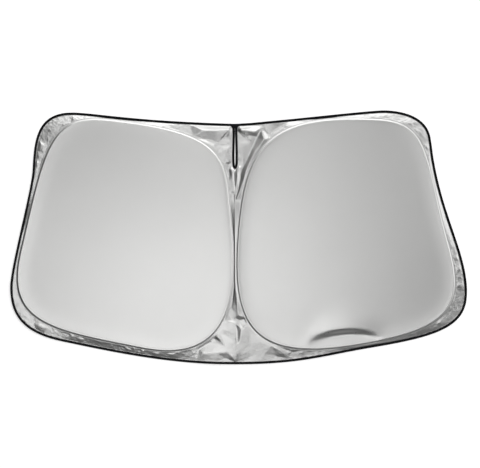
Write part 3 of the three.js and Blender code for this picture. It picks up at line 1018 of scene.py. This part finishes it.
def sewn_sleeve(layout, side, finish):
    """The strip under one hoop: a flange to either side of the tunnel that holds the wire."""
    sizes = layout.sizes
    low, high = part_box(f"{side}_hoop_sleeve")
    sleeve_step = 5 * MM
    line, _ = smooth_closed(hoop_line(side), WIRE_CORNER, sleeve_step)
    ahead = unit(np.roll(line, -1, axis=0) - np.roll(line, 1, axis=0))
    outward = -right_of(ahead)
    tunnel, tunnel_floor = 4.2, 1.2
    one_side = np.array([tunnel_floor, 1.8, 2.4, 3.0, 3.6, tunnel, 5.4, 6.5])
    across = np.concatenate([-one_side[::-1], [0], one_side]) * MM
    wall = sizes.sleeve_thickness
    rise = high[2] - low[2] - wall
    under = low[2] + rise * sleeve_profile(across, tunnel * MM, tunnel_floor * MM)
    section = np.vstack([
        np.stack([across, under], axis=1),
        np.stack([across[::-1], under[::-1] + wall], axis=1),
    ])
    vertices = sweep(line, outward, section)
    gather_height, gather_reach, gather_stations = 0.22 * MM, 5.6 * MM, 3
    gather = 0.5 + 0.5 * np.sin(np.arange(len(line)) * 2 * math.pi / gather_stations)
    hang = 1 - sleeve_profile(section[:, 0], gather_reach, 0.4 * MM)
    vertices[..., 2] += gather_height * gather[:, None] * hang[None, :]
    faces = ring_faces(len(line), len(section))
    piece = build_mesh(f"{side}_sewn_sleeve", vertices.reshape(-1, 3), faces, [finish])
    outward_faces(piece)
    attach(piece, BODY)
    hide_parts(f"{side}_hoop_sleeve")


class SUNSHADE_OT_hoops(bpy.types.Operator):
    """Sews the sleeves under the cloth and gives the wires and ferrules their finish"""

    bl_idname = "sunshade.hoops"
    bl_label = "Hoops and Sleeves"

    def execute(self, context):
        colours = context.scene.sunshade_colours
        steel = finish_material("Spring Steel", colours.steel, shaded(colours.steel, 0.9),
                                rough=0.34, metal=1.0, threads=900.0, bump_height=0.01 * MM)
        strip = finish_material("Sleeve Cloth", colours.lining, shaded(colours.lining, 0.9),
                                rough=0.68, metal=0.2, threads=2200.0, bump_height=0.1 * MM)
        layout = Layout(context.scene.sunshade_sizes)
        for side in HALVES:
            for part in ("wire", "ferrule"):
                mesh = bpy.data.objects[f"{side}_hoop_{part}"].data
                mesh.materials.clear()
                mesh.materials.append(steel)
            sewn_sleeve(layout, side, strip)
        return {"FINISHED"}


def one_stitch(length, width):
    """A single stitch with few faces, as its corners and faces."""
    bpy.ops.object.select_all(action="DESELECT")
    bpy.ops.mesh.primitive_uv_sphere_add(segments=6, ring_count=4, radius=0.5)
    stitch = bpy.context.object
    bpy.ops.object.mode_set(mode="EDIT")
    bpy.ops.mesh.select_all(action="SELECT")
    bpy.ops.transform.rotate(value=math.pi / 2, orient_axis="Y")
    height = 0.8 * width
    bpy.ops.transform.resize(value=(length, width, height))
    bpy.ops.object.mode_set(mode="OBJECT")
    corners = np.array([tuple(v.co) for v in stitch.data.vertices])
    faces = [tuple(f.vertices) for f in stitch.data.polygons]
    bpy.data.objects.remove(stitch)
    return corners, faces


def spaced(points, step):
    """Places at equal steps round a closed run of points [x, y, z], with the way ahead at each."""
    run = np.vstack([points, points[:1]])
    travelled = np.append(0, np.cumsum(np.linalg.norm(np.diff(run, axis=0), axis=1)))
    count = max(2, int(travelled[-1] / step))
    goal = (np.arange(count) + 0.5) * travelled[-1] / count
    place = np.stack([np.interp(goal, travelled, run[:, k]) for k in range(3)], axis=1)
    later = np.stack([np.interp(goal + 1 * MM, travelled, run[:, k]) for k in range(3)], axis=1)
    return place, unit(later - place)


def stitch_runs(name, runs, material, length, width, step):
    """One piece that holds every stitch of some sewn runs."""
    corners, faces = one_stitch(length, width)
    vertices = []
    made = []
    for run in runs:
        place, ahead = spaced(run, step)
        across = np.stack([-ahead[:, 1], ahead[:, 0], np.zeros(len(ahead))], axis=1)
        up = np.cross(ahead, unit(across))
        for p, a, c, u in zip(place, ahead, unit(across), up):
            base = len(vertices)
            vertices += (p + corners[:, :1] * a + corners[:, 1:2] * c + corners[:, 2:] * u).tolist()
            made += [[base + k for k in face] for face in faces]
    return build_mesh(name, vertices, made, [material])


class SUNSHADE_OT_stitches(bpy.types.Operator):
    """Sews the hoops' tunnels and the binding"""

    bl_idname = "sunshade.stitches"
    bl_label = "Stitches"

    def execute(self, context):
        sizes = context.scene.sunshade_sizes
        colours = context.scene.sunshade_colours
        layout = Layout(sizes)
        grey = finish_material("Grey Thread", colours.thread, shaded(colours.thread, 0.85),
                               rough=0.6, metal=0.0, threads=3000.0, bump_height=0.05 * MM)
        black = finish_material("Black Thread", shaded(colours.tape, 2), colours.tape,
                                rough=0.7, metal=0.0, threads=3000.0, bump_height=0.05 * MM)
        runs = []
        half_cloth = sizes.cloth_thickness / 2
        for name in HALVES:
            half = layout.halves[name]
            for reach in (sizes.stitch_reach, -sizes.stitch_reach):
                run = over_hoop(layout, name, half["hoop"] + half["outward"] * reach, reach)
                runs.append(run + (0, 0, half_cloth))
        hoops = stitch_runs("hoop_stitches", runs, grey, length=3.4 * MM, width=0.45 * MM,
                            step=4.8 * MM)
        tape_run = 1.6 * MM
        xy = layout.edge + layout.edge_way * (sizes.tape_width - tape_run)
        run = np.column_stack([xy, layout.tape_high + layout.edge_lift])
        tape = stitch_runs("tape_stitches", [run], black, length=3.0 * MM, width=0.5 * MM,
                           step=4.4 * MM)
        for piece, slot in ((hoops, "sleeve_cloth"), (tape, "black_tape")):
            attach(piece, BODY)
        return {"FINISHED"}


class SUNSHADE_OT_stage(bpy.types.Operator):
    """Sets the floor, the light and the camera"""

    bl_idname = "sunshade.stage"
    bl_label = "Stage"

    def execute(self, context):
        scene = context.scene
        scene.view_settings.view_transform = "Standard"
        bpy.ops.object.select_all(action="DESELECT")
        bpy.ops.mesh.primitive_plane_add(size=FLOOR_SIZE, location=(0, 0, -FLOOR_DROP))
        floor = context.object
        floor.name = "floor"
        floor.data.materials.append(floor_material())
        layout = Layout(scene.sunshade_sizes)
        middle = (
            layout.fold_x + (PHOTO_WIDTH / 2 - FOLD_PIXEL) * METRES_PER_PIXEL,
            layout.foot_y + (FOOT_PIXEL - PHOTO_HEIGHT / 2) * METRES_PER_PIXEL,
        )
        camera = bpy.data.objects.new("camera", bpy.data.cameras.new("camera"))
        scene.collection.objects.link(camera)
        camera.location = (*middle, CAMERA_HEIGHT)
        camera.data.sensor_width = CAMERA_SENSOR
        camera.data.lens = CAMERA_SENSOR * CAMERA_HEIGHT / (PHOTO_WIDTH * METRES_PER_PIXEL)
        scene.camera = camera
        for lamp in LAMPS:
            add_lamp(*lamp)
        world_light(scene)
        return {"FINISHED"}


def add_lamp(name, place, target, size, power):
    lamp = bpy.data.lights.new(name, "AREA")
    lamp.shape = "RECTANGLE"
    lamp.size, lamp.size_y = size
    lamp.energy = power
    holder = bpy.data.objects.new(name, lamp)
    bpy.context.scene.collection.objects.link(holder)
    holder.location = place
    way = Vector(target) - Vector(place)
    holder.rotation_mode = "QUATERNION"
    holder.rotation_quaternion = way.to_track_quat("-Z", "Y")
    holder.visible_camera = False


def floor_material():
    """A pale floor that glows evenly for the camera and in the coating, and lights nothing."""
    material, tree, shader = new_material("Floor")
    shader.inputs["Base Color"].default_value = (0.9, 0.9, 0.9, 1)
    shader.inputs["Roughness"].default_value = 1.0
    shader.inputs["Specular IOR Level"].default_value = 0.0
    shader.inputs["Emission Color"].default_value = (1, 1, 1, 1)
    path = add_node(tree, "LightPath")
    seen = math_node(tree, "MAXIMUM", path.outputs["Is Camera Ray"], path.outputs["Is Glossy Ray"])
    glow = math_node(tree, "MULTIPLY", seen, FLOOR_GLOW)
    tree.links.new(glow, shader.inputs["Emission Strength"])
    return material


def world_light(scene):
    """The room that the coating mirrors.

    Low down it is a ring, and high up a roof that ends just right of the middle, with a patch
    further right. All are bright on the far side and the right, and dim on the near side and left.
    """
    world = bpy.data.worlds.new("studio")
    scene.world = world
    world.use_nodes = True
    tree = world.node_tree
    background = tree.nodes["Background"]
    coordinates = add_node(tree, "TexCoord")
    split = add_node(tree, "SeparateXYZ")
    link(tree, coordinates, "Generated", split, 0)

    def graded(axis, start, end, low, high):
        """Runs evenly from low at the start to high at the end, as a way's share of the axis."""
        node = add_node(tree, "MapRange", From_Min=start, From_Max=end, To_Min=low, To_Max=high)
        link(tree, split, axis, node, "Value")
        return node.outputs["Result"]

    def product(first, second):
        return math_node(tree, "MULTIPLY", first, second)

    ring = product(graded("Y", -0.5, 0.2, 0.4, 1.15), graded("X", -0.6, 0.5, 0.0, 1.0))
    roof = product(graded("Y", -0.17, 0.2, 0.06, 1.42), graded("X", -0.3, 0.4, 0.0, 1.8))
    roof = product(roof, graded("X", 0.045, 0.1, 1.0, 0.0))
    patch = product(graded("Y", -0.3, 0.1, 0.0, 1.0), graded("X", 0.23, 0.36, 0.0, 1.1))
    mix = add_node(tree, "Mix")
    tree.links.new(graded("Z", 0.68, 0.9, 0.0, 1.0), mix.inputs["Factor"])
    tree.links.new(ring, mix.inputs["A"])
    tree.links.new(math_node(tree, "ADD", roof, patch), mix.inputs["B"])
    link(tree, mix, "Result", background, "Strength")
    background.inputs["Color"].default_value = (1, 1, 1, 1)


class SUNSHADE_PT_panel(bpy.types.Panel):
    """Lists the steps that dress the sunshade"""

    bl_label = "Sunshade"
    bl_space_type = "VIEW_3D"
    bl_region_type = "UI"
    bl_category = "Sunshade"

    def draw(self, context):
        for step in STEPS:
            self.layout.operator(step.bl_idname)
        for group in (context.scene.sunshade_sizes, context.scene.sunshade_colours):
            box = self.layout.box()
            for name in group.__annotations__:
                box.prop(group, name)


STEPS = (
    SUNSHADE_OT_binding,
    SUNSHADE_OT_hoops,
    SUNSHADE_OT_stitches,
    SUNSHADE_OT_cloth,
    SUNSHADE_OT_stage,
)
CLASSES = (SunshadeSizes, SunshadeColours, *STEPS, SUNSHADE_PT_panel)


def register():
    for cls in CLASSES:
        bpy.utils.register_class(cls)
    bpy.types.Scene.sunshade_sizes = PointerProperty(type=SunshadeSizes)
    bpy.types.Scene.sunshade_colours = PointerProperty(type=SunshadeColours)


def unregister():
    del bpy.types.Scene.sunshade_colours
    del bpy.types.Scene.sunshade_sizes
    for cls in reversed(CLASSES):
        bpy.utils.unregister_class(cls)


def main():
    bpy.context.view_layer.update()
    register()
    bpy.ops.sunshade.binding()
    bpy.ops.sunshade.hoops()
    bpy.ops.sunshade.stitches()
    bpy.ops.sunshade.cloth()
    bpy.ops.sunshade.stage()


if __name__ == "__main__":
    main()
